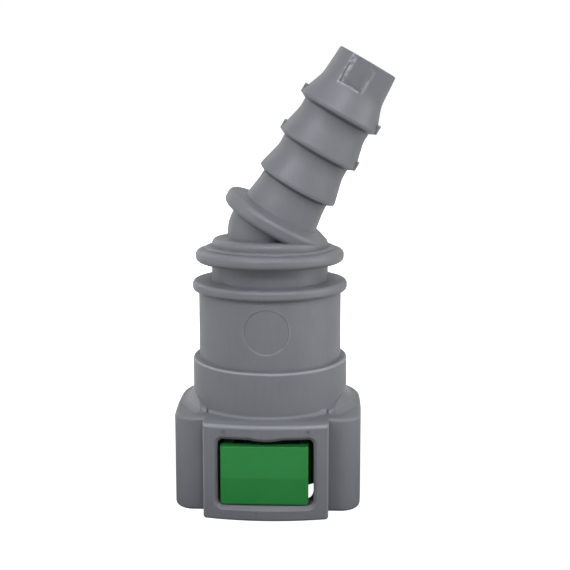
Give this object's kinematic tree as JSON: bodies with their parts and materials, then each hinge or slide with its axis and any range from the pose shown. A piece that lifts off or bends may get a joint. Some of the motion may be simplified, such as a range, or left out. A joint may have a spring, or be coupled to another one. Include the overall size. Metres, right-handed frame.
{
  "type": "quick connector",
  "caption": "Moulded push-on tube connector with a ring retainer released by two buttons, inner seals and an angled hose barb.",
  "frame": {"origin": "on the socket axis, at the plane of the housing's bottom rim", "axes": "+Z along the socket axis into the body, the buttons face -Y and +Y, and the hose barb leans towards +X and a little to the front, -Y"},
  "size_m": [0.0351, 0.0316, 0.0729],
  "materials": {
    "grey_polyamide": "fine satin moulded",
    "green_polyamide": "satin moulded",
    "seal_rubber": "satin",
    "black_polyamide": "satin moulded"
  },
  "bodies": {
    "housing": {"connector_body": "grey_polyamide", "inner_seal": "seal_rubber", "seal_spacer": "black_polyamide", "outer_seal": "seal_rubber", "retaining_bush": "black_polyamide"},
    "retainer": {"release_retainer": "green_polyamide"}
  },
  "joints": [
    {"name": "retainer_press", "type": "slide", "parent": "housing", "child": "retainer", "axis": [0, 1, 0], "range_m": [-0.0013, 0.0013], "stiffness_N_per_m": 2000}
  ]
}
